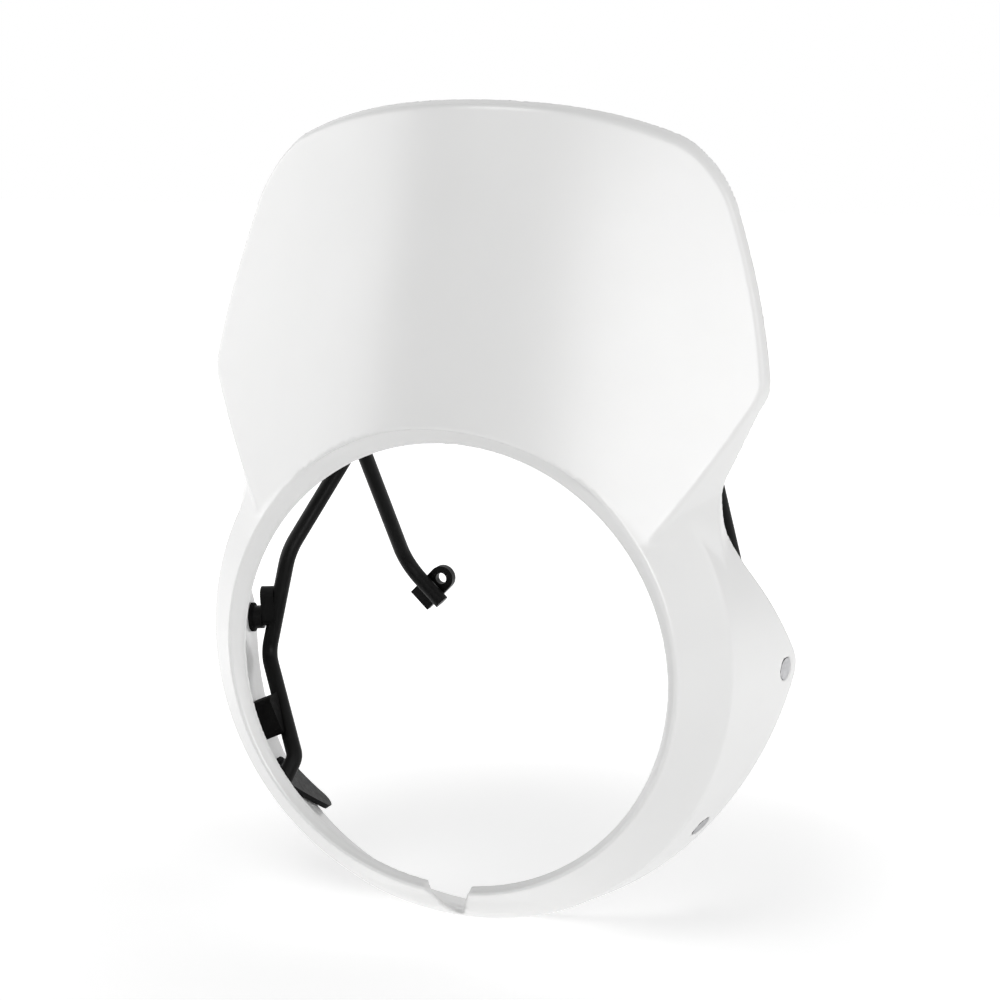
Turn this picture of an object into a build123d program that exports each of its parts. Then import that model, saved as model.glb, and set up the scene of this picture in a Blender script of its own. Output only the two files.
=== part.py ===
from build123d import *
import math
import os

# Millimetres. +Z is up, the cowl looks along -Y, +X is the viewer's right.
# The origin is on the lamp opening's axis, just behind the front edge of its straight bore.

# Lamp opening and lip
opening_radius = 91.0
lip_flare = 1.0
lip_front = 0.5
lip_round = 1.5
lip_thickness = 1.5
funnel_flare = 3.4
ridge_land = 0.4
ridge_front = 5.0
ring_rise = 3.0
collar_wall = 3.2

# Ring band and ears
band_flare = 17.0
band_depth = 19.4
ear_flare = 0.224
wall = 3.0
ear_tip_back = 73.5
ear_tip_height = -3.0
ear_tip_round = 13.0
ear_foot_back = 34.0
ear_foot_height = -125.0
ear_bend_back = 50.0
ear_bend_height = -62.0
ear_bend_round = 120.0
ear_neck_back = 38.0
ear_neck_height = 44.0
ear_neck_round = 40.0
waist_back = 26.5
waist_height = 76.0
waist_round = 18.0

# Fly-screen face: a curved plate that leans back
face_height = 122.7
face_lean = 0.274
face_radius = 136.7
face_wing_angle = 25.2
face_wall = 3.2
rim_depth = 5.3
top_flare = 0.4

# Fly-screen outline on the face: upper corner, lower corner and the end of the flank
corner_inset = 23.4
corner_drop = 21.2
corner_flare = (0.06, 0.41)
corner_miter = (0.81, 0.75)
corner_round = 27.0
side_bulge = 2.5
wing_reach = 22.4
wing_lift = 14.2
wing_flare = (0.35, -0.2)
wing_miter = (1.04, -0.24)
wing_round = 5.0
wing_rise = 2.0
flank_angle = 33.5
flank_gap = 3.8
flank_front = 1.05
flank_flare = (0.465, -0.293)
flank_miter = (0.85, -0.53)
flank_run_in = 40.0
flank_blend = 20.0

# Notch at the foot of the lip
notch_width = 18.7
notch_depth = 15.5
notch_side_angle = 26.0

# Fixings on the ears: ring angle and depth of each screw, and what stands behind it
upper_screw_angle = -3.2
upper_screw_back = 61.5
foot_screw_angle = -36.2
foot_screw_back = 37.5
screw_head_radius = 4.6
screw_radius = 2.5
screw_clearance = 0.1
screw_seat = 0.1
washer_radius = 6.5
washer_thickness = 1.5
boss_radius = 5.2
boss_length = 4.0
boss_plate_length = 18.0
boss_plate_width = 8.0
boss_plate_rise = 5.0
boss_plate_thickness = 2.5
foot_tab_thickness = 2.5
foot_tab_round = 4.4
foot_tab_reach = 19.5
foot_tab_drift = 8.5
foot_washer_thickness = 1.0
foot_rod_offset = 12.0
foot_rod_drop = 2.0
foot_rod_overrun = 6.0

# Stay rods. The front leg's bends are given up, forward and out from the screw that is nearest
rod_radius = 3.5
apex = (81.2, 93.3, 75.6)
apex_bend = 6.0
front_leg_top = (30.0, 2.0, -22.6)
upper_bend = 24.0
front_leg_foot = (-17.1, -0.8, -9.3)
lower_bend = 10.0
foot_bend_spot = (2.5, 7.3, -12.7)
foot_bend = 8.0
leg_bend_point = (74.6, 132.0, 9.8)
leg_bend = 22.0
leg_end_point = (56.8, 132.0, -7.3)

# Eye tabs behind the rear legs
eye_radius = 2.6
eye_round = 5.8
eye_clearance = 0.2
eye_tail = 10.0
eye_tab_thickness = 4.0
eye_station = 16.0

# Rubber dampers between rod and ear
damper_height = 17.0
damper_depth = 16.0
damper_angle = -24.0
damper_back = 39.5
damper_core = 13.0
damper_round = 3.0

# Working extents
front_limit = 20.0
back_limit = 90.0
reach = 160.0
face_low = -30.0
face_run = 300.0
pick_tolerance = 0.1

# Ring sizes, each from the one inside it, and the fly-screen's corners from the ring
lip_radius = opening_radius + lip_flare
funnel_radius = lip_radius + funnel_flare
ridge_radius = funnel_radius + ridge_land
crease_radius = ridge_radius + band_flare
crease_back = band_depth - ridge_front
band_slope = band_flare / band_depth
ridge_top = ring_rise + ridge_radius
face_top_height = ridge_top + face_height
corner_height = face_top_height - corner_drop
wing_width = ridge_radius + wing_reach
wing_height = ridge_top + wing_lift
corner_width = wing_width - corner_inset
flank_width = (ridge_radius + flank_gap) * math.cos(math.radians(flank_angle))
flank_height = ring_rise + (ridge_radius + flank_gap) * math.sin(math.radians(flank_angle))
notch_floor = lip_radius + notch_depth


def face_sag(x):
    """How far the face has curved back at x: an arc across the middle, then straight wings."""
    turn = math.radians(face_wing_angle)
    arc = min(abs(x), face_radius * math.sin(turn))
    return face_radius - math.sqrt(face_radius**2 - arc**2) + (abs(x) - arc) * math.tan(turn)


def face_back(x, z):
    """Depth of the leaned face, which meets the end of the flank."""
    return face_lean * (z - flank_height) - flank_front + face_sag(x) - face_sag(flank_width)


face_top_back = face_back(0, face_top_height)
corner_back = face_back(corner_width, corner_height)
wing_back = face_back(wing_width, wing_height)
flank_back = -flank_front


def screen_outline(y, inset):
    """Half outline of the fly-screen at depth y, moved in by inset: top, corner, wing, flank."""
    top = (0, face_top_height + top_flare * (y - face_top_back) - inset)
    corner = (
        corner_width + corner_flare[0] * (y - corner_back) - corner_miter[0] * inset,
        corner_height + corner_flare[1] * (y - corner_back) - corner_miter[1] * inset,
    )
    wing = (
        wing_width + wing_flare[0] * (y - wing_back) - wing_miter[0] * inset,
        wing_height + wing_flare[1] * (y - wing_back) - wing_miter[1] * inset,
    )
    flank = (
        flank_width + flank_flare[0] * (y - flank_back) - flank_miter[0] * inset,
        flank_height + flank_flare[1] * (y - flank_back) - flank_miter[1] * inset,
    )
    return top, corner, wing, flank


def screen_face(y, inset):
    """Closed outline of the fly-screen at depth y as a sketch facing +Y."""
    top, corner, wing, flank = screen_outline(y, inset)
    chord = math.dist(corner, wing)
    out = ((corner[1] - wing[1]) / chord, (wing[0] - corner[0]) / chord)
    middle = tuple((a + b) / 2 + side_bulge * n for a, b, n in zip(corner, wing, out))
    slope = math.dist(flank, wing)
    root = tuple(a - flank_run_in * (b - a) / slope for a, b in zip(flank, wing))
    with BuildSketch(Plane.XZ.offset(-y)) as sketch:
        with BuildLine():
            ThreePointArc((-corner[0], corner[1]), top, corner)
            ThreePointArc(corner, middle, wing)
            Line(wing, root)
            Line(root, (-root[0], root[1]))
            Line((-root[0], root[1]), (-wing[0], wing[1]))
            ThreePointArc((-wing[0], wing[1]), (-middle[0], middle[1]), (-corner[0], corner[1]))
        make_face()
        upper = sketch.vertices().filter_by(lambda v: abs(v.Y - corner[1]) < pick_tolerance)
        fillet(upper, radius=corner_round - inset)
        lower = sketch.vertices().filter_by(lambda v: abs(v.Y - wing[1]) < pick_tolerance)
        fillet(lower, radius=wing_round - inset / 2)
    return sketch.sketch


def screen_block(inset):
    """Tapered block whose section is the fly-screen outline."""
    with BuildPart() as block:
        add(screen_face(-front_limit, inset))
        add(screen_face(back_limit, inset))
        loft(ruled=True)
    return block.part


def behind_face(setback, depth):
    """Everything from setback behind the curved face to depth behind it."""
    edge_x = face_radius * math.sin(math.radians(face_wing_angle))
    front = face_back(0, face_low) + setback
    edge = (edge_x, face_back(edge_x, face_low) + setback)
    tip = (reach, face_back(reach, face_low) + setback)
    rear_edge = (edge[0], edge[1] + depth)
    rear_tip = (tip[0], tip[1] + depth)
    with BuildPart() as block:
        with BuildSketch(Plane.XY.offset(face_low)):
            with BuildLine():
                ThreePointArc((-edge[0], edge[1]), (0, front), edge)
                Polyline(edge, tip, rear_tip, rear_edge)
                ThreePointArc(rear_edge, (0, front + depth), (-rear_edge[0], rear_edge[1]))
                Polyline(
                    (-rear_edge[0], rear_edge[1]),
                    (-rear_tip[0], rear_tip[1]),
                    (-tip[0], tip[1]),
                    (-edge[0], edge[1]),
                )
            make_face()
        extrude(amount=face_run * math.hypot(1, face_lean), dir=(0, face_lean, 1))
    return block.part


def turned(points):
    """Solid turned round the ring's axis from (radius, y) points."""
    with BuildPart() as solid:
        with BuildSketch(Plane.XY):
            with BuildLine():
                Polyline(points, close=True)
            make_face()
        revolve(axis=Axis.Y)
    return solid.part.moved(Location((0, 0, ring_rise)))


def ring_radius(back):
    """Outer radius of the ring band, then of the ears behind the crease."""
    if back < crease_back:
        return crease_radius - band_slope * (crease_back - back)
    return crease_radius + ear_flare * (back - crease_back)


def on_ring(edge):
    """Whether an edge runs along the outside of the ring band or the ears."""
    middle = edge @ 0.5
    return abs(math.hypot(middle.X, middle.Z - ring_rise) - ring_radius(middle.Y)) < pick_tolerance


def ear_plane(angle, back):
    """Plane on the right ear's outside: z out of the wall, x up round the ring, y to the front."""
    radius = ring_radius(back)
    turn = math.radians(angle)
    tilt = math.atan(ear_flare)
    return Plane(
        origin=(radius * math.cos(turn), back, ring_rise + radius * math.sin(turn)),
        x_dir=(-math.sin(turn), 0, math.cos(turn)),
        z_dir=(math.cos(turn) * math.cos(tilt), -math.sin(tilt), math.sin(turn) * math.cos(tilt)),
    )


# Ring band with ears, and the hollow behind it
ear_wall = wall * math.hypot(1, ear_flare)
band_wall = wall * math.hypot(1, band_slope)
void_radius = ridge_radius + band_slope * (ridge_front + lip_thickness) - band_wall
void_crease_back = crease_back + 1
void_crease_radius = crease_radius + ear_flare - ear_wall

ring_block = turned([
    (0, -ridge_front),
    (ridge_radius, -ridge_front),
    (crease_radius, crease_back),
    (ring_radius(back_limit), back_limit),
    (0, back_limit),
])


def wall_void(standoff):
    """Space inside the ring and ears, standing off the wall."""
    gap = standoff * math.hypot(1, ear_flare)
    return turned([
        (0, lip_thickness),
        (void_radius - gap, lip_thickness),
        (void_crease_radius - gap, void_crease_back),
        (void_crease_radius - gap + ear_flare * (back_limit - void_crease_back), back_limit),
        (0, back_limit),
    ])


collar_block = turned([
    (0, -front_limit),
    (funnel_radius + collar_wall, -front_limit),
    (funnel_radius + collar_wall, lip_thickness),
    (0, lip_thickness),
])

# What the rear edges leave: a thin rim round the face, deeper flanks, and the ears
with BuildPart() as rear_keep:
    with BuildSketch(Plane.YZ.offset(-reach)) as side:
        Polygon(
            (-front_limit, ear_foot_height),
            (ear_foot_back, ear_foot_height),
            (ear_bend_back, ear_bend_height),
            (ear_tip_back, ear_tip_height),
            (ear_neck_back, ear_neck_height),
            (waist_back, waist_height),
            (wing_back + rim_depth, wing_height + wing_rise),
            (-front_limit, wing_height + wing_rise),
            align=None,
        )
        for height, radius in (
            (ear_bend_height, ear_bend_round),
            (ear_tip_height, ear_tip_round),
            (ear_neck_height, ear_neck_round),
            (waist_height, waist_round),
        ):
            fillet(side.vertices().sort_by(lambda v: abs(v.Y - height))[0], radius=radius)
    extrude(amount=2 * reach)
    add(behind_face(0, rim_depth))

with BuildPart() as hollow:
    add(screen_block(wall))
    add(behind_face(face_wall, reach), mode=Mode.INTERSECT)
    add(collar_block, mode=Mode.SUBTRACT)
    add(wall_void(0))

with BuildPart() as lamp_cut:
    with BuildSketch(Plane.XZ.offset(front_limit)):
        Circle(opening_radius)
    extrude(amount=-front_limit - back_limit)
    with BuildSketch(Plane.XZ.offset(lip_front)):
        Circle(opening_radius)
    with BuildSketch(Plane.XZ.offset(lip_front + lip_round)):
        Circle(lip_radius)
    loft()
    with BuildSketch(Plane.XZ.offset(lip_front + lip_round)):
        Circle(lip_radius)
    with BuildSketch(Plane.XZ.offset(ridge_front)):
        with Locations((0, ring_rise)):
            Circle(funnel_radius)
    loft()
    with BuildSketch(Plane.XZ.offset(ridge_front)):
        with Locations((0, ring_rise)):
            Circle(funnel_radius)
    extrude(amount=front_limit - ridge_front)

with BuildPart() as notch_cut:
    notch_half = notch_width / 2
    notch_draw = notch_depth * math.tan(math.radians(notch_side_angle))
    notch_top = lip_radius - notch_width
    with BuildSketch(Plane.XZ.offset(front_limit)):
        Polygon(
            (-notch_half, -notch_top),
            (-notch_half, -lip_radius),
            (notch_draw - notch_half, -notch_floor),
            (notch_half - notch_draw, -notch_floor),
            (notch_half, -lip_radius),
            (notch_half, -notch_top),
            align=None,
        )
    extrude(amount=-front_limit - crease_back)

upper_plane = ear_plane(upper_screw_angle, upper_screw_back)
foot_plane = ear_plane(foot_screw_angle, foot_screw_back)

with BuildPart() as screw_cut:
    for plane in (upper_plane, foot_plane):
        with BuildSketch(plane):
            Circle(screw_head_radius)
        with BuildSketch(plane.offset(screw_radius - screw_head_radius)):
            Circle(screw_radius + screw_clearance)
        loft()
        with BuildSketch(plane.offset(-2 * wall)):
            Circle(screw_radius + screw_clearance)
        extrude(amount=2 * wall)
        with BuildSketch(plane):
            Circle(screw_head_radius)
        extrude(amount=wall)
    mirror(about=Plane.YZ)

with BuildPart() as cowl_shell:
    add(screen_block(0))
    add(behind_face(0, reach), mode=Mode.INTERSECT)
    add(ring_block)
    seams = cowl_shell.edges().filter_by(GeomType.BSPLINE).filter_by(on_ring)
    fillet(seams, radius=flank_blend)
    add(rear_keep.part, mode=Mode.INTERSECT)
    add(hollow.part, mode=Mode.SUBTRACT)
    add(lamp_cut.part, mode=Mode.SUBTRACT)
    add(notch_cut.part, mode=Mode.SUBTRACT)
    add(screw_cut.part, mode=Mode.SUBTRACT)

# Right stay rod: rear leg, apex, front leg past the boss, foot
boss_face = wall + washer_thickness
plate_face = boss_face + boss_length
foot_face = wall + foot_washer_thickness
tab_face = foot_face + foot_tab_thickness
foot_weld_point = foot_plane.from_local_coords(Vector(-foot_rod_drop, foot_rod_offset, -tab_face))
front_leg_bends = [upper_plane.from_local_coords(Vector(spot)) for spot in (front_leg_top, front_leg_foot)]
foot_bend_point = foot_plane.from_local_coords(Vector(foot_bend_spot))
foot_run = (foot_weld_point - foot_bend_point).normalized()
foot_end_point = foot_weld_point + foot_run * foot_rod_overrun

with BuildPart() as foot_zone:
    with BuildSketch(foot_plane):
        with Locations((-foot_rod_drop, foot_rod_offset)):
            Circle(3 * rod_radius)
    extrude(amount=2 * foot_rod_overrun, both=True)
    add(wall_void(tab_face - wall), mode=Mode.SUBTRACT)

with BuildPart() as stay_rod_right:
    with BuildLine() as rod_path:
        FilletPolyline(
            leg_end_point,
            leg_bend_point,
            apex,
            *front_leg_bends,
            foot_bend_point,
            foot_end_point,
            radius=(leg_bend, apex_bend, upper_bend, lower_bend, foot_bend),
        )
    with BuildSketch(Plane(rod_path.line @ 0, z_dir=rod_path.line % 0)):
        Circle(rod_radius)
    sweep()
    add(foot_zone.part, mode=Mode.SUBTRACT)

# Right eye tab, flat against the back of the rod's last straight
eye_offset = rod_radius + eye_radius + eye_clearance
leg_run = (Vector(leg_end_point) - Vector(leg_bend_point)).normalized()
eye_across = Vector(0, 1, 0).cross(leg_run)
eye_middle = Vector(leg_bend_point) + leg_run * eye_station + Vector(0, rod_radius, 0)
eye_plane = Plane(origin=eye_middle, x_dir=eye_across, z_dir=(0, 1, 0))
with BuildPart() as eye_tab_right:
    with BuildSketch(eye_plane):
        with Locations(((eye_offset - eye_tail) / 2, 0)):
            Rectangle(eye_offset + eye_tail, 2 * eye_round)
        with Locations((eye_offset, 0)):
            Circle(eye_round)
            Circle(eye_radius, mode=Mode.SUBTRACT)
    extrude(amount=eye_tab_thickness)

# Right upper fixing: plate on the rod, threaded boss, washer and screw
with BuildPart() as boss_plate_right:
    with BuildSketch(upper_plane.offset(-plate_face)):
        with Locations((boss_plate_rise, 0)):
            SlotOverall(boss_plate_length, boss_plate_width)
    extrude(amount=-boss_plate_thickness - rod_radius)
    add(stay_rod_right.part, mode=Mode.SUBTRACT)

with BuildPart() as boss_right:
    with BuildSketch(upper_plane.offset(-plate_face)):
        Circle(boss_radius)
        Circle(screw_radius + screw_clearance, mode=Mode.SUBTRACT)
    extrude(amount=boss_length)


def flush_screw(plane, length):
    """Countersunk screw, flush with the ear."""
    with BuildPart() as screw:
        with BuildSketch(plane.offset(-screw_seat)):
            Circle(screw_head_radius - screw_seat)
        with BuildSketch(plane.offset(screw_radius - screw_head_radius)):
            Circle(screw_radius)
        loft()
        with BuildSketch(plane.offset(-length)):
            Circle(screw_radius)
        extrude(amount=length + screw_radius - screw_head_radius)
    return screw


upper_screw_right = flush_screw(upper_plane, plate_face)
foot_screw_right = flush_screw(foot_plane, tab_face)

# Right washers, shaped to the inside of the ear
with BuildPart() as upper_washer_right:
    with BuildSketch(upper_plane.offset(-boss_face)):
        Circle(washer_radius)
        Circle(screw_radius + screw_clearance, mode=Mode.SUBTRACT)
    extrude(amount=boss_face)
    add(wall_void(0), mode=Mode.INTERSECT)

with BuildPart() as foot_washer_right:
    with BuildSketch(foot_plane.offset(-tab_face)):
        Circle(washer_radius)
        Circle(screw_radius + screw_clearance, mode=Mode.SUBTRACT)
    extrude(amount=tab_face)
    add(wall_void(0), mode=Mode.INTERSECT)
    add(wall_void(foot_washer_thickness), mode=Mode.SUBTRACT)

# Right foot plate, from the rod's end past the screw to a round tip
with BuildPart() as foot_tab_right:
    with BuildSketch(foot_plane.offset(-tab_face)):
        with Locations((0, 0), (-foot_rod_drop, foot_rod_offset), (-foot_tab_reach, -foot_tab_drift)):
            Circle(foot_tab_round)
        make_hull()
        Circle(screw_radius + screw_clearance, mode=Mode.SUBTRACT)
    extrude(amount=2 * tab_face, both=True)
    add(wall_void(foot_washer_thickness), mode=Mode.INTERSECT)
    add(wall_void(foot_washer_thickness + foot_tab_thickness), mode=Mode.SUBTRACT)

# Right damper, shaped to the rod on one side and to the ear on the other
with BuildPart() as damper_right:
    with BuildSketch(ear_plane(damper_angle, damper_back).offset(-damper_core)):
        RectangleRounded(damper_height, damper_depth, damper_round)
    extrude(amount=damper_core)
    add(wall_void(0), mode=Mode.INTERSECT)
    add(stay_rod_right.part, mode=Mode.SUBTRACT)

pieces = {"cowl_shell": cowl_shell}
right_pieces = {
    "stay_rod": stay_rod_right,
    "eye_tab": eye_tab_right,
    "boss_plate": boss_plate_right,
    "boss": boss_right,
    "upper_washer": upper_washer_right,
    "upper_screw": upper_screw_right,
    "damper": damper_right,
    "foot_tab": foot_tab_right,
    "foot_washer": foot_washer_right,
    "foot_screw": foot_screw_right,
}
for name, right in right_pieces.items():
    with BuildPart() as left:
        mirror(right.part, about=Plane.YZ)
    pieces[name + "_right"] = right
    pieces[name + "_left"] = left

os.makedirs("parts", exist_ok=True)
for name, piece in pieces.items():
    piece.part.label = name
    export_step(piece.part, "parts/" + name + ".step")
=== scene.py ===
import math

import bpy
import numpy as np
from mathutils import Matrix, Vector


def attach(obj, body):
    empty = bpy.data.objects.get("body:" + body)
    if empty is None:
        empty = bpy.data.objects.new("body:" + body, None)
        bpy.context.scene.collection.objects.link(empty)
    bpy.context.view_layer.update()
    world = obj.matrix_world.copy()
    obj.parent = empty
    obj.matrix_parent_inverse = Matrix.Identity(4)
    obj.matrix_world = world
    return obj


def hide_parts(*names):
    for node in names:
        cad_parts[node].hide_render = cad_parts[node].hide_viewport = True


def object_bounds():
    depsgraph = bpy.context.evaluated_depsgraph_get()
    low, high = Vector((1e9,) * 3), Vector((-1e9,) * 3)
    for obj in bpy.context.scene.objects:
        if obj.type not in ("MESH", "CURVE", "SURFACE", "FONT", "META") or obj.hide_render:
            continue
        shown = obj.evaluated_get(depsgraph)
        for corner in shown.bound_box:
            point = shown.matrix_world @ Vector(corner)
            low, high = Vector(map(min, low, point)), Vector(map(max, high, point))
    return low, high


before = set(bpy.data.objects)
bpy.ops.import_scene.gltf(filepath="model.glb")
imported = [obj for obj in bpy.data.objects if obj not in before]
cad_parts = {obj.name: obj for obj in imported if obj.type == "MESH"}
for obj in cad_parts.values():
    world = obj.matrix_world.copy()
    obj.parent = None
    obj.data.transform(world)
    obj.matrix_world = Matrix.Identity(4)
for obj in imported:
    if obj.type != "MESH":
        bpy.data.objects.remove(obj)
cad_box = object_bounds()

mm_per_m = 1000.0
# The stretch of a noise's range that holds most of its values
noise_low = 0.3
noise_high = 0.7
noise_roughness = 0.55
grain_detail = 4.0


def add_node(tree, kind, **values):
    """Node of one kind; a name that is an input sets that input, any other sets a property."""
    node = tree.nodes.new(kind)
    for key, value in values.items():
        if key in node.inputs:
            node.inputs[key].default_value = value
        else:
            setattr(node, key, value)
    return node


def object_noise(tree, scale, detail):
    """Noise over the object's own coordinates, in metres."""
    place = add_node(tree, "ShaderNodeTexCoord")
    noise = add_node(tree, "ShaderNodeTexNoise", Scale=scale, Detail=detail, Roughness=noise_roughness)
    tree.links.new(place.outputs["Object"], noise.inputs["Vector"])
    return noise.outputs["Fac"]


def ramp(tree, value, low, high):
    """Spreads the usual range of a noise over another range."""
    spread = add_node(tree, "ShaderNodeMapRange")
    spread.inputs["From Min"].default_value = noise_low
    spread.inputs["From Max"].default_value = noise_high
    spread.inputs["To Min"].default_value = low
    spread.inputs["To Max"].default_value = high
    tree.links.new(value, spread.inputs["Value"])
    return spread.outputs["Result"]


def mix_colour(tree, factor, first, second):
    """Blend of two colours by a factor socket."""
    mix = add_node(tree, "ShaderNodeMix", data_type="RGBA")
    mix.inputs["A"].default_value = (*first, 1.0)
    mix.inputs["B"].default_value = (*second, 1.0)
    tree.links.new(factor, mix.inputs["Factor"])
    return mix.outputs["Result"]


def seen_or_mirrored(tree):
    """One for rays from the camera and for reflected and refracted rays, zero for the rest."""
    path = add_node(tree, "ShaderNodeLightPath")
    total = path.outputs["Is Camera Ray"]
    for kind in ("Is Glossy Ray", "Is Transmission Ray"):
        either = add_node(tree, "ShaderNodeMath", operation="MAXIMUM")
        tree.links.new(total, either.inputs[0])
        tree.links.new(path.outputs[kind], either.inputs[1])
        total = either.outputs[0]
    return total


def make_finish(
    name, colours, colour_scale, roughness, roughness_scale, inputs,
    colour_detail=4.0, bump=None, bump_scale=None, bump_detail=3.0,
):
    """Material with noise in its colour and roughness; bump is a strength and a depth in metres."""
    material = bpy.data.materials.new(name)
    material.use_nodes = True
    tree = material.node_tree
    shader = tree.nodes["Principled BSDF"]
    cloud = ramp(tree, object_noise(tree, colour_scale, colour_detail), 0.0, 1.0)
    tree.links.new(mix_colour(tree, cloud, *colours), shader.inputs["Base Color"])
    grain = ramp(tree, object_noise(tree, roughness_scale, grain_detail), *roughness)
    tree.links.new(grain, shader.inputs["Roughness"])
    if bump:
        relief = add_node(tree, "ShaderNodeBump", Strength=bump[0], Distance=bump[1])
        tree.links.new(object_noise(tree, bump_scale, bump_detail), relief.inputs["Height"])
        tree.links.new(relief.outputs["Normal"], shader.inputs["Normal"])
    for key, value in inputs.items():
        shader.inputs[key].default_value = value
    return material


finishes = {
    "white_plastic": make_finish(
        "cowl_white_plastic",
        colours=((0.83, 0.83, 0.825), (0.855, 0.855, 0.85)),
        colour_scale=14.0,
        colour_detail=3.0,
        roughness=(0.32, 0.4),
        roughness_scale=160.0,
        bump=(0.04, 0.0004),
        bump_scale=900.0,
        bump_detail=2.0,
        inputs={"Coat Weight": 0.8, "Coat Roughness": 0.25},
    ),
    "black_metal": make_finish(
        "bracket_black_paint",
        colours=((0.003, 0.003, 0.003), (0.006, 0.006, 0.006)),
        colour_scale=120.0,
        roughness=(0.32, 0.48),
        roughness_scale=400.0,
        bump=(0.15, 0.0004),
        bump_scale=1500.0,
        inputs={"Specular IOR Level": 0.1},
    ),
    "black_rubber": make_finish(
        "damper_black_rubber",
        colours=((0.003, 0.003, 0.003), (0.006, 0.006, 0.006)),
        colour_scale=200.0,
        roughness=(0.65, 0.85),
        roughness_scale=600.0,
        bump=(0.3, 0.0003),
        bump_scale=2500.0,
        inputs={"Specular IOR Level": 0.06},
    ),
    "zinc_screw": make_finish(
        "screw_zinc",
        colours=((0.36, 0.36, 0.37), (0.47, 0.47, 0.48)),
        colour_scale=500.0,
        roughness=(0.35, 0.5),
        roughness_scale=900.0,
        inputs={"Metallic": 0.8},
    ),
}
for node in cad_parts.values():
    slot = node.data.materials[0].name
    node.data.materials[0] = finishes[slot]

# Sizes of the moulding in millimetres, as in the solid apart from the face's bend and wall
opening_radius = 91.0
lip_radius = 92.0
lip_front = 0.5
lip_round = 1.5
lip_thickness = 1.5
funnel_radius = 95.4
ridge_radius = 95.8
ridge_front = 5.0
ring_rise = 3.0
collar_wall = 3.2
crease_radius = 112.8
crease_back = 14.4
ear_flare = 0.224
wall = 3.0
face_top_height = 221.5
face_foot_front = 14.56
face_lean = 0.274
# One smooth bend near the solid's arc and straight wings: its size, and its slope far out
face_bend = 60.0
face_slope = 0.568
rim_depth = 5.3
top_flare = 0.4
corner_width = 94.8
corner_height = 200.3
corner_flare = (0.06, 0.41)
side_bulge = 2.5
wing_width = 118.2
wing_height = 113.0
wing_flare = (0.35, -0.2)
wing_rise = 2.0
flank_flare = (0.465, -0.293)
flank_angle = 33.5
flank_gap = 3.8
notch_width = 18.7
notch_floor = 107.5
notch_side_angle = 26.0
screw_head_radius = 4.6
screw_radius = 2.5
screw_clearance = 0.1
# Angle round the ring and depth of each screw
screw_spots = ((-3.2, 61.5), (-36.2, 37.5))
# Rear profile from the side: depth, height and corner radius. It closes well in front of the part
profile_front = -40.0
profile_foot = -125.0
rear_profile = (
    (profile_front, profile_foot, 0.0),
    (34.0, profile_foot, 0.0),
    (50.0, -62.0, 120.0),
    (73.5, -3.0, 13.0),
    (38.0, 44.0, 40.0),
    (26.5, 76.0, 18.0),
)
# Points on each rounded corner of that profile
arc_points = 13
# How far the screw holes are cut, well past the wall
screw_hole_depth = 12.0

# How soft the moulding's edges are
corner_soft = 10.0
wing_soft = 2.3
edge_soft = 1.3
crease_soft = 0.6
lip_soft = 0.9
rear_soft = 1.2
notch_soft = 1.5
screw_soft = 0.3
# The seam of screen and ring widens behind the face and narrows again towards the rear
seam_soft = 1.0
seam_growth = 0.9
seam_most = 22.0
seam_rear = 6.0
seam_fade = (18.0, 32.0)

# Mesh of the moulding: pitch of the grid, its half width, and its lowest and highest depth and height
net_pitch = 1.0
net_half_width = 128.0
net_low = (-20.0, -118.0)
net_high = (78.0, 228.0)
# The funnel's wall slants, so the distance to it is less than the distance across
funnel_share = 0.6
# How points settle on the surface: the step that measures the slope, and the limits of each move
slope_step = 0.02
least_slope_squared = 0.05
longest_move = 0.6
least_length = 1e-9
settle_rounds = 3

band_slope = (crease_radius - ridge_radius) / (crease_back + ridge_front)
flank_turn = math.radians(flank_angle)
flank_width = (ridge_radius + flank_gap) * math.cos(flank_turn)
flank_height = ring_rise + (ridge_radius + flank_gap) * math.sin(flank_turn)


def round_cut(a, b, r):
    """Intersection of two fields with a rounded edge."""
    return np.minimum(np.maximum(a, b), -r) + np.hypot(np.maximum(a + r, 0), np.maximum(b + r, 0))


def round_join(a, b, r):
    """Union of two fields with a filled corner."""
    return -round_cut(-a, -b, r)


def face_back(x, z):
    """Depth of the leaned face, whose bend eases off towards its wings."""
    sag = face_slope * (np.hypot(x, face_bend) - face_bend)
    return face_lean * (z - ring_rise - ridge_radius) - face_foot_front + sag


def face_field(x, y, z):
    """Distance in front of the face."""
    slope = face_slope * x / np.hypot(x, face_bend)
    return (face_back(x, z) - y) / np.sqrt(1 + face_lean**2 + slope**2)


top_back = float(face_back(0.0, face_top_height))
corner_back = float(face_back(corner_width, corner_height))
wing_back = float(face_back(wing_width, wing_height))
flank_back = float(face_back(flank_width, flank_height))


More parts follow.
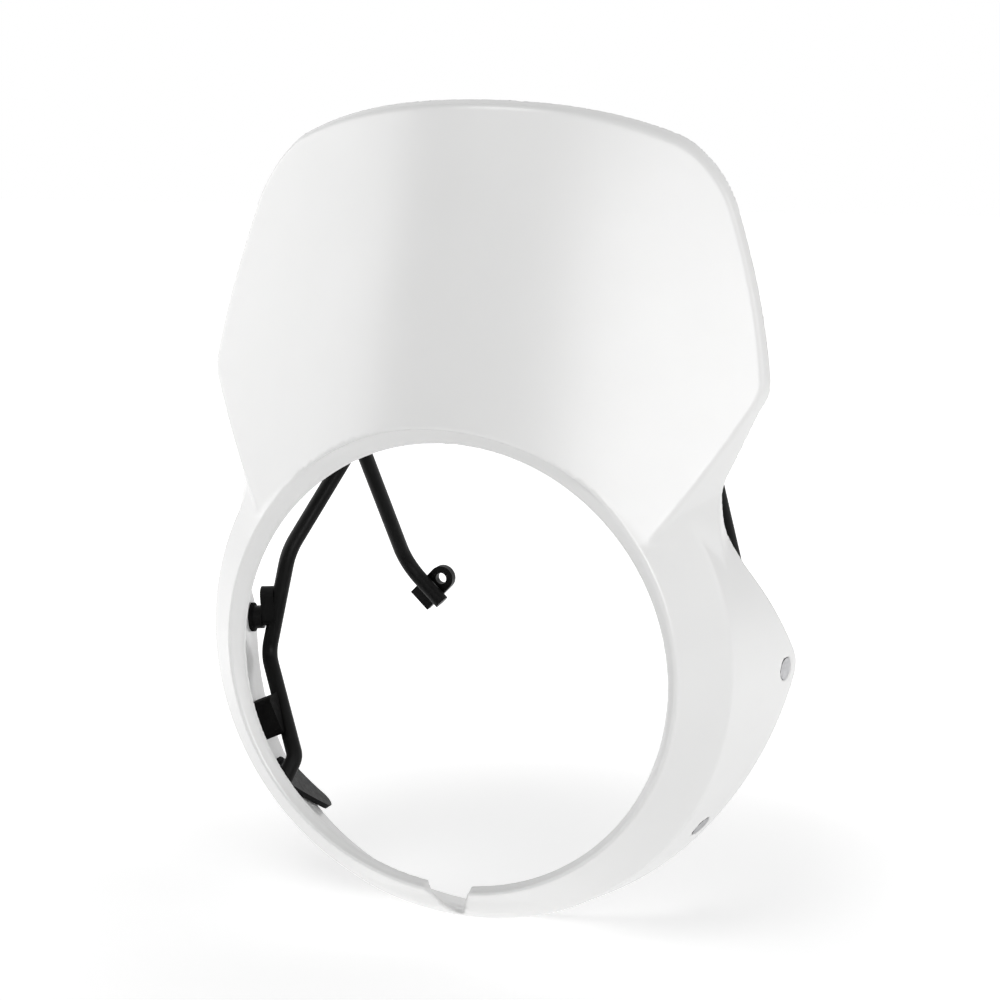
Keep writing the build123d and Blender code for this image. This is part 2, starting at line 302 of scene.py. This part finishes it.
def outline_field(x, y, z):
    """Distance outside the fly-screen's outline, which widens with depth."""
    x = np.abs(x)
    top = face_top_height + top_flare * (y - top_back)
    corner_x = corner_width + corner_flare[0] * (y - corner_back)
    corner_z = corner_height + corner_flare[1] * (y - corner_back)
    wing_x = wing_width + wing_flare[0] * (y - wing_back)
    wing_z = wing_height + wing_flare[1] * (y - wing_back)
    flank_x = flank_width + flank_flare[0] * (y - flank_back)
    flank_z = flank_height + flank_flare[1] * (y - flank_back)
    drop = top - corner_z
    crown = (corner_x**2 + drop**2) / (2 * drop)
    above = np.hypot(x, z - top + crown) - crown
    chord = np.hypot(wing_x - corner_x, wing_z - corner_z)
    out_x = (corner_z - wing_z) / chord
    out_z = (wing_x - corner_x) / chord
    bow = (chord**2 / 4 + side_bulge**2) / (2 * side_bulge)
    middle_x = (wing_x + corner_x) / 2 - out_x * (bow - side_bulge)
    middle_z = (wing_z + corner_z) / 2 - out_z * (bow - side_bulge)
    beside = np.hypot(x - middle_x, z - middle_z) - bow
    run = np.hypot(wing_x - flank_x, wing_z - flank_z)
    below = ((x - flank_x) * (wing_z - flank_z) - (z - flank_z) * (wing_x - flank_x)) / run
    return round_cut(round_cut(above, beside, corner_soft), below, wing_soft)


def ring_field(x, y, z):
    """Distance outside the ring band and the ears."""
    radius = np.hypot(x, z - ring_rise)
    band = (radius - ridge_radius - band_slope * (y + ridge_front)) / math.hypot(1, band_slope)
    ear = (radius - crease_radius - ear_flare * (y - crease_back)) / math.hypot(1, ear_flare)
    return np.maximum(round_cut(band, ear, crease_soft), -ridge_front - y)


def rounded_path(points):
    """Open path through (y, z, radius) points with its corners rounded by arcs."""
    path = [points[0][:2]]
    for before, (y, z, radius), after in zip(points, points[1:], points[2:]):
        if radius == 0:
            path.append((y, z))
            continue
        corner = np.array((y, z))
        one = np.array(before[:2]) - corner
        two = np.array(after[:2]) - corner
        one /= np.linalg.norm(one)
        two /= np.linalg.norm(two)
        half = math.acos(float(np.dot(one, two))) / 2
        middle = corner + (one + two) / np.linalg.norm(one + two) * radius / math.sin(half)
        start = corner + one * radius / math.tan(half) - middle
        end = corner + two * radius / math.tan(half) - middle
        angle = math.atan2(start[1], start[0])
        sweep = math.remainder(math.atan2(end[1], end[0]) - angle, 2 * math.pi)
        for step in np.linspace(0, 1, arc_points):
            turn = angle + sweep * step
            path.append((middle[0] + radius * math.cos(turn), middle[1] + radius * math.sin(turn)))
    path.append(points[-1][:2])
    return path


ear_top = wing_height + wing_rise
top_of_ears = ((wing_back + rim_depth, ear_top, 0.0), (profile_front, ear_top, 0.0))
rear_path = rounded_path(rear_profile + top_of_ears)


def profile_field(y, z):
    """Distance outside the rear profile, seen from the side."""
    near = np.full(np.broadcast(y, z).shape, np.inf)
    inside = np.zeros(near.shape, bool)
    for (ay, az), (by, bz) in zip(rear_path, rear_path[1:] + rear_path[:1]):
        run_y, run_z = by - ay, bz - az
        length = run_y**2 + run_z**2
        if length == 0:
            continue
        along = np.clip(((y - ay) * run_y + (z - az) * run_z) / length, 0, 1)
        near = np.minimum(near, np.hypot(y - ay - along * run_y, z - az - along * run_z))
        if run_z != 0:
            crosses = (z >= min(az, bz)) & (z < max(az, bz))
            inside ^= crosses & (y < ay + (z - az) * run_y / run_z)
    return np.where(inside, -near, near)


def lamp_field(x, y, z):
    """Distance outside the lamp opening and its funnel."""
    depths = (-ridge_front, -lip_front - lip_round, -lip_front)
    radius = np.interp(y, depths, (funnel_radius, lip_radius, opening_radius))
    rise = np.interp(y, depths, (ring_rise, 0.0, 0.0))
    in_funnel = (y > depths[0]) & (y < depths[2])
    return (np.hypot(x, z - rise) - radius) * np.where(in_funnel, funnel_share, 1.0)


def notch_field(x, z):
    """Distance outside the notch at the foot of the lip."""
    turn = math.radians(notch_side_angle)
    straight = np.abs(x) - notch_width / 2
    drawn_in = straight * math.cos(turn) - (z + lip_radius) * math.sin(turn)
    side = np.maximum(straight, drawn_in)
    return np.maximum(round_cut(side, -notch_floor - z, notch_soft), z + lip_radius - notch_width)


def screw_field(x, y, z):
    """Distance outside the countersunk screw holes."""
    near = np.inf
    for angle, back in screw_spots:
        turn = math.radians(angle)
        tilt = math.atan(ear_flare)
        radius = crease_radius + ear_flare * (back - crease_back)
        out = (math.cos(turn) * math.cos(tilt), -math.sin(tilt), math.sin(turn) * math.cos(tilt))
        dx = np.abs(x) - radius * math.cos(turn)
        dy = y - back
        dz = z - ring_rise - radius * math.sin(turn)
        height = dx * out[0] + dy * out[1] + dz * out[2]
        across = np.sqrt(np.maximum(dx**2 + dy**2 + dz**2 - height**2, 0))
        head = across - screw_head_radius
        cone = np.minimum((head - height) * math.sqrt(0.5), head)
        shank = across - screw_radius - screw_clearance
        hole = np.minimum(shank, np.maximum(cone, -height - screw_head_radius))
        near = np.minimum(near, np.maximum(hole, -height - screw_hole_depth))
    return near


def shell_field(x, y, z):
    """Distance outside the whole moulding."""
    face = face_field(x, y, z)
    screen = round_cut(outline_field(x, y, z), face, edge_soft)
    blend = np.clip(seam_soft - seam_growth * face, seam_soft, seam_most)
    blend = np.minimum(blend, np.interp(y, seam_fade, (seam_most, seam_rear)))
    outer = round_join(screen, ring_field(x, y, z), blend)
    radius = np.hypot(x, z - ring_rise)
    collar = np.maximum(radius - funnel_radius - collar_wall, y - lip_thickness)
    hollow = np.maximum(outer + wall, -collar)
    shell = np.maximum(outer, -hollow)
    rim = -face - rim_depth
    keep = np.minimum(profile_field(y, z), rim)
    shell = round_cut(shell, keep, rear_soft)
    shell = round_cut(shell, -lamp_field(x, y, z), lip_soft)
    shell = round_cut(shell, -np.maximum(notch_field(x, z), y - crease_back), lip_soft)
    return round_cut(shell, -screw_field(x, y, z), screw_soft)


def slope_field(points):
    """Field and its gradient at scattered points."""
    x, y, z = points.T
    step = slope_step
    value = shell_field(x, y, z)
    slope = np.stack([
        shell_field(x + step, y, z) - shell_field(x - step, y, z),
        shell_field(x, y + step, z) - shell_field(x, y - step, z),
        shell_field(x, y, z + step) - shell_field(x, y, z - step),
    ], axis=1) / (2 * step)
    return value, slope


def settle(points):
    """Moves points onto the surface along the gradient."""
    for _ in range(settle_rounds):
        value, slope = slope_field(points)
        size = np.maximum((slope**2).sum(1), least_slope_squared)
        move = slope * (value / size)[:, None]
        length = np.linalg.norm(move, axis=1, keepdims=True)
        points = points - move * np.minimum(1, longest_move / np.maximum(length, least_length))
    return points


def relax(points, quads):
    """Evens out a net: each point moves half way to the mean of its neighbours."""
    start = np.concatenate([quads[:, side] for side in (0, 1, 2, 3)])
    end = np.concatenate([quads[:, side] for side in (1, 2, 3, 0)])
    joined = np.concatenate([start, end])
    other = points[np.concatenate([end, start])]
    count = np.bincount(joined, minlength=len(points))
    mean = np.stack([np.bincount(joined, axis, len(points)) / count for axis in other.T], axis=1)
    return (points + mean) / 2


def surface_net(half_width, low, high, pitch):
    """Quads over the zero surface of the shell's field, which is made for one half and mirrored."""
    count = np.ceil((np.array(high) - np.array(low)) / pitch).astype(int) + 1
    xs = np.arange(int(np.ceil(half_width / pitch)) + 1) * pitch
    ys = low[0] + np.arange(count[0]) * pitch
    zs = low[1] + np.arange(count[1]) * pitch
    field = shell_field(xs[:, None, None], ys[None, :, None], zs[None, None, :]).astype(np.float32)
    field = np.concatenate([field[:0:-1], field])
    inside = field < 0

    # Cells that the surface passes through, and the field at their corners
    nx, ny, nz = (n - 1 for n in field.shape)
    corners = [(i, j, k) for i in (0, 1) for j in (0, 1) for k in (0, 1)]
    total = np.zeros((nx, ny, nz), np.int8)
    for i, j, k in corners:
        total += inside[i:nx + i, j:ny + j, k:nz + k]
    cells = np.argwhere((total > 0) & (total < len(corners)))
    value = np.stack([field[tuple((cells + corner).T)] for corner in corners], axis=1)

    # One point in each cell: the mean of where the surface crosses the cell's edges
    spot = np.zeros((len(cells), 3))
    hits = np.zeros(len(cells))
    for a, one in enumerate(corners):
        for b, two in enumerate(corners):
            if b <= a or sum(abs(p - q) for p, q in zip(one, two)) != 1:
                continue
            cross = (value[:, a] < 0) != (value[:, b] < 0)
            share = np.where(cross, value[:, a] / np.where(cross, value[:, a] - value[:, b], 1), 0)
            point = np.array(one) + share[:, None] * (np.array(two) - np.array(one))
            spot += np.where(cross[:, None], point, 0)
            hits += cross
    spot = (cells + spot / hits[:, None]) * pitch + np.array((-xs[-1], low[0], low[1]))
    number = np.full(total.shape, -1, np.int32)
    number[tuple(cells.T)] = np.arange(len(cells))

    # One quad round each grid edge that the surface crosses
    quads = []
    for axis in range(3):
        one, two = (axis + 1) % 3, (axis + 2) % 3
        start = [slice(1, n - 1) for n in field.shape]
        start[axis] = slice(0, field.shape[axis] - 1)
        end = list(start)
        end[axis] = slice(1, field.shape[axis])
        edges = np.argwhere(inside[tuple(start)] != inside[tuple(end)])
        edges[:, one] += 1
        edges[:, two] += 1
        ring = []
        for back_one, back_two in ((1, 1), (0, 1), (0, 0), (1, 0)):
            cell = edges.copy()
            cell[:, one] -= back_one
            cell[:, two] -= back_two
            ring.append(number[tuple(cell.T)])
        ring = np.stack(ring, axis=1)
        flip = ~inside[tuple(edges.T)]
        ring[flip] = ring[flip, ::-1]
        quads.append(ring)
    return spot, np.concatenate(quads)


points, quads = surface_net(net_half_width, net_low, net_high, net_pitch)
points = settle(points)
points = settle(relax(points, quads))
shell_mesh = bpy.data.meshes.new("cowl_moulding")
shell_mesh.from_pydata((points / mm_per_m).tolist(), [], quads.tolist())
shell_mesh.polygons.foreach_set("use_smooth", [True] * len(shell_mesh.polygons))
shell_mesh.update()
cowl = bpy.data.objects.new("cowl_moulding", shell_mesh)
bpy.context.scene.collection.objects.link(cowl)
cowl.data.materials.append(finishes["white_plastic"])
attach(cowl, "root")
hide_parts("cowl_shell")

# Floor and world: sizes in metres, glow and light as strengths
floor_half = 6.0
floor_gap = 0.0003
floor_grey = 0.8
# Glow for every ray, then the glow added where the floor is seen or mirrored: near the object,
# far from it, and the distances between which it rises
floor_glow_all = 0.42
floor_glow_near = 0.08
floor_glow_far = 0.6
floor_glow_reach = (0.12, 0.5)
world_light = 0.2

# Floor, which stays white away from the object's shadow
floor_height = cad_box[0].z - floor_gap
floor_mesh = bpy.data.meshes.new("floor")
floor_mesh.from_pydata(
    [
        (-floor_half, -floor_half, floor_height),
        (floor_half, -floor_half, floor_height),
        (floor_half, floor_half, floor_height),
        (-floor_half, floor_half, floor_height),
    ],
    [],
    [(0, 1, 2, 3)],
)
floor = bpy.data.objects.new("floor", floor_mesh)
bpy.context.scene.collection.objects.link(floor)
floor_material = bpy.data.materials.new("floor_white")
floor_material.use_nodes = True
floor_tree = floor_material.node_tree
floor_tree.nodes.clear()
floor_out = add_node(floor_tree, "ShaderNodeOutputMaterial")
floor_sum = add_node(floor_tree, "ShaderNodeAddShader")
floor_colour = (floor_grey, floor_grey, floor_grey, 1.0)
floor_paint = add_node(floor_tree, "ShaderNodeBsdfDiffuse", Color=floor_colour)
floor_glow = add_node(floor_tree, "ShaderNodeEmission", Color=(1.0, 1.0, 1.0, 1.0))
floor_place = add_node(floor_tree, "ShaderNodeTexCoord")
floor_far = add_node(floor_tree, "ShaderNodeVectorMath", operation="LENGTH")
floor_rise = add_node(floor_tree, "ShaderNodeMapRange", interpolation_type="SMOOTHSTEP")
floor_rise.inputs["From Min"].default_value = floor_glow_reach[0]
floor_rise.inputs["From Max"].default_value = floor_glow_reach[1]
floor_rise.inputs["To Min"].default_value = floor_glow_near
floor_rise.inputs["To Max"].default_value = floor_glow_far
floor_seen = add_node(floor_tree, "ShaderNodeMath", operation="MULTIPLY_ADD")
floor_seen.inputs[2].default_value = floor_glow_all
floor_tree.links.new(floor_place.outputs["Object"], floor_far.inputs[0])
floor_tree.links.new(floor_far.outputs["Value"], floor_rise.inputs["Value"])
floor_tree.links.new(floor_rise.outputs["Result"], floor_seen.inputs[0])
floor_tree.links.new(seen_or_mirrored(floor_tree), floor_seen.inputs[1])
floor_tree.links.new(floor_seen.outputs[0], floor_glow.inputs["Strength"])
floor_tree.links.new(floor_paint.outputs[0], floor_sum.inputs[0])
floor_tree.links.new(floor_glow.outputs[0], floor_sum.inputs[1])
floor_tree.links.new(floor_sum.outputs[0], floor_out.inputs["Surface"])
floor_mesh.materials.append(floor_material)

# World: white to the camera and in reflections, a soft grey as light
world = bpy.data.worlds.new("studio")
bpy.context.scene.world = world
world.use_nodes = True
world_tree = world.node_tree
backdrop = world_tree.nodes["Background"]
backdrop.inputs["Color"].default_value = (1.0, 1.0, 1.0, 1.0)
level = add_node(world_tree, "ShaderNodeMapRange")
level.inputs["To Min"].default_value = world_light
level.inputs["To Max"].default_value = 1.0
world_tree.links.new(seen_or_mirrored(world_tree), level.inputs["Value"])
world_tree.links.new(level.outputs["Result"], backdrop.inputs["Strength"])

# Middle of the cowl, which the lamps look at
lamp_aim = Vector((0.0, 0.03, 0.06))


def softbox(name, azimuth, elevation, distance, width, height, radiance, gloss_only=False):
    """Area light that looks at the middle of the cowl, or a panel that only shows in its gloss."""
    lamp = bpy.data.lights.new(name, "AREA")
    lamp.shape = "RECTANGLE"
    lamp.size = width
    lamp.size_y = height
    lamp.energy = radiance * math.pi * width * height
    light = bpy.data.objects.new(name, lamp)
    a = math.radians(azimuth)
    e = math.radians(elevation)
    toward = Vector((math.sin(a) * math.cos(e), -math.cos(a) * math.cos(e), math.sin(e)))
    turned_to = (-toward).to_track_quat("-Z", "Y").to_matrix().to_4x4()
    light.matrix_world = Matrix.Translation(lamp_aim + toward * distance) @ turned_to
    light.visible_diffuse = not gloss_only
    bpy.context.scene.collection.objects.link(light)


softbox("softbox_left", -80, 20, distance=1.5, width=1.6, height=1.0, radiance=1.0)
softbox("softbox_right", 42, 16, distance=1.5, width=0.9, height=0.8, radiance=2.0)
softbox("softbox_side", 100, 20, distance=1.5, width=1.2, height=1.0, radiance=1.15)
softbox("softbox_above", -12, 55, distance=1.6, width=0.7, height=0.7, radiance=3.2)
softbox("panel_left", -84, 14, distance=1.5, width=1.7, height=1.1, radiance=0.9, gloss_only=True)
softbox("panel_right", 44, 15, distance=1.5, width=1.0, height=0.95, radiance=2.0, gloss_only=True)

# Camera at the photograph's view: its axes, and its place along them from the origin
right = Vector((0.9356, 0.3531, 0.0))
back = Vector((0.3470, -0.9193, 0.1857))
up = Vector((-0.0656, 0.1737, 0.9826))
camera_distance = 0.8233
camera_aside = 0.02066
camera_above = 0.06742
view = bpy.data.cameras.new("camera")
view.sensor_width = 36.0
view.lens = 74.16
view.clip_start = 0.05
view.clip_end = 50.0
camera = bpy.data.objects.new("camera", view)
camera_spot = back * camera_distance + right * camera_aside + up * camera_above
camera_turn = Matrix((right, up, back)).transposed().to_4x4()
camera.matrix_world = Matrix.Translation(camera_spot) @ camera_turn
bpy.context.scene.collection.objects.link(camera)
bpy.context.scene.camera = camera

bpy.context.scene.view_settings.view_transform = "Standard"
